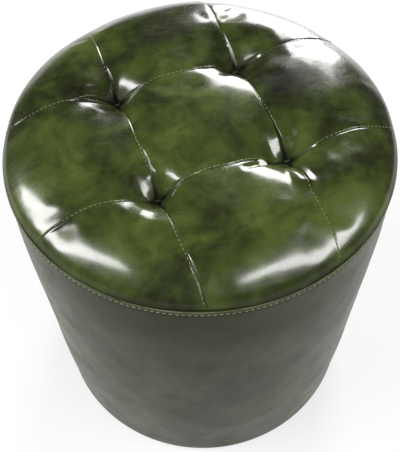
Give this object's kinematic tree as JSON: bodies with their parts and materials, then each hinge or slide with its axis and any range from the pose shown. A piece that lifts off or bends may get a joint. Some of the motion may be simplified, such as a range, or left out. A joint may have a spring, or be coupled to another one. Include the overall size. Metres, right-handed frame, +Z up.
{
  "type": "pouf",
  "caption": "Round drum pouf with straight leather sides, a thick quilted top drawn down by deep tufts, a hidden wooden frame and low glides under its base.",
  "frame": {"origin": "centre of the base, on the floor under the glides", "axes": "+Z is up through the seat; the sewn lines of the top run along X and Y; the closing seam of the side is at the back, at +Y"},
  "size_m": [0.3616, 0.3618, 0.406],
  "materials": {
    "top_leather": "oiled and glossy, mottled olive green",
    "side_leather": "oiled, satin, mottled grey green",
    "thread": "twisted olive thread",
    "foam": "open-cell foam",
    "wadding": "loose fibre wadding",
    "lining": "black non-woven cloth",
    "plywood": "bare plywood",
    "hardboard": "bare hardboard",
    "pine": "planed pine",
    "screw_steel": "yellow zinc plated",
    "staple_steel": "zinc plated wire",
    "glide_plastic": "moulded black plastic",
    "twine": "waxed twine",
    "washer_fibre": "pressed fibre"
  },
  "bodies": {
    "root": {"back_topstitch": "thread", "base_ring": "plywood", "base_ring_screws": "screw_steel", "dust_cover": "lining", "dust_cover_staples": "staple_steel", "glide_1": "glide_plastic", "glide_2": "glide_plastic", "glide_3": "glide_plastic", "glide_4": "glide_plastic", "glide_nails": "staple_steel", "hem_staples": "staple_steel", "panel_staples": "staple_steel", "post_1": "pine", "post_2": "pine", "post_3": "pine", "post_4": "pine", "post_5": "pine", "post_6": "pine", "rim_topstitch": "thread", "seat_board": "plywood", "seat_board_screws": "screw_steel", "seat_foam": "foam", "seat_wadding": "wadding", "side_cover": "side_leather", "side_foam": "foam", "side_panel": "hardboard", "top_cover": "top_leather", "tuft_tie_1": "twine", "tuft_tie_2": "twine", "tuft_tie_3": "twine", "tuft_tie_4": "twine", "tuft_washer_1": "washer_fibre", "tuft_washer_2": "washer_fibre", "tuft_washer_3": "washer_fibre", "tuft_washer_4": "washer_fibre"}
  },
  "joints": []
}
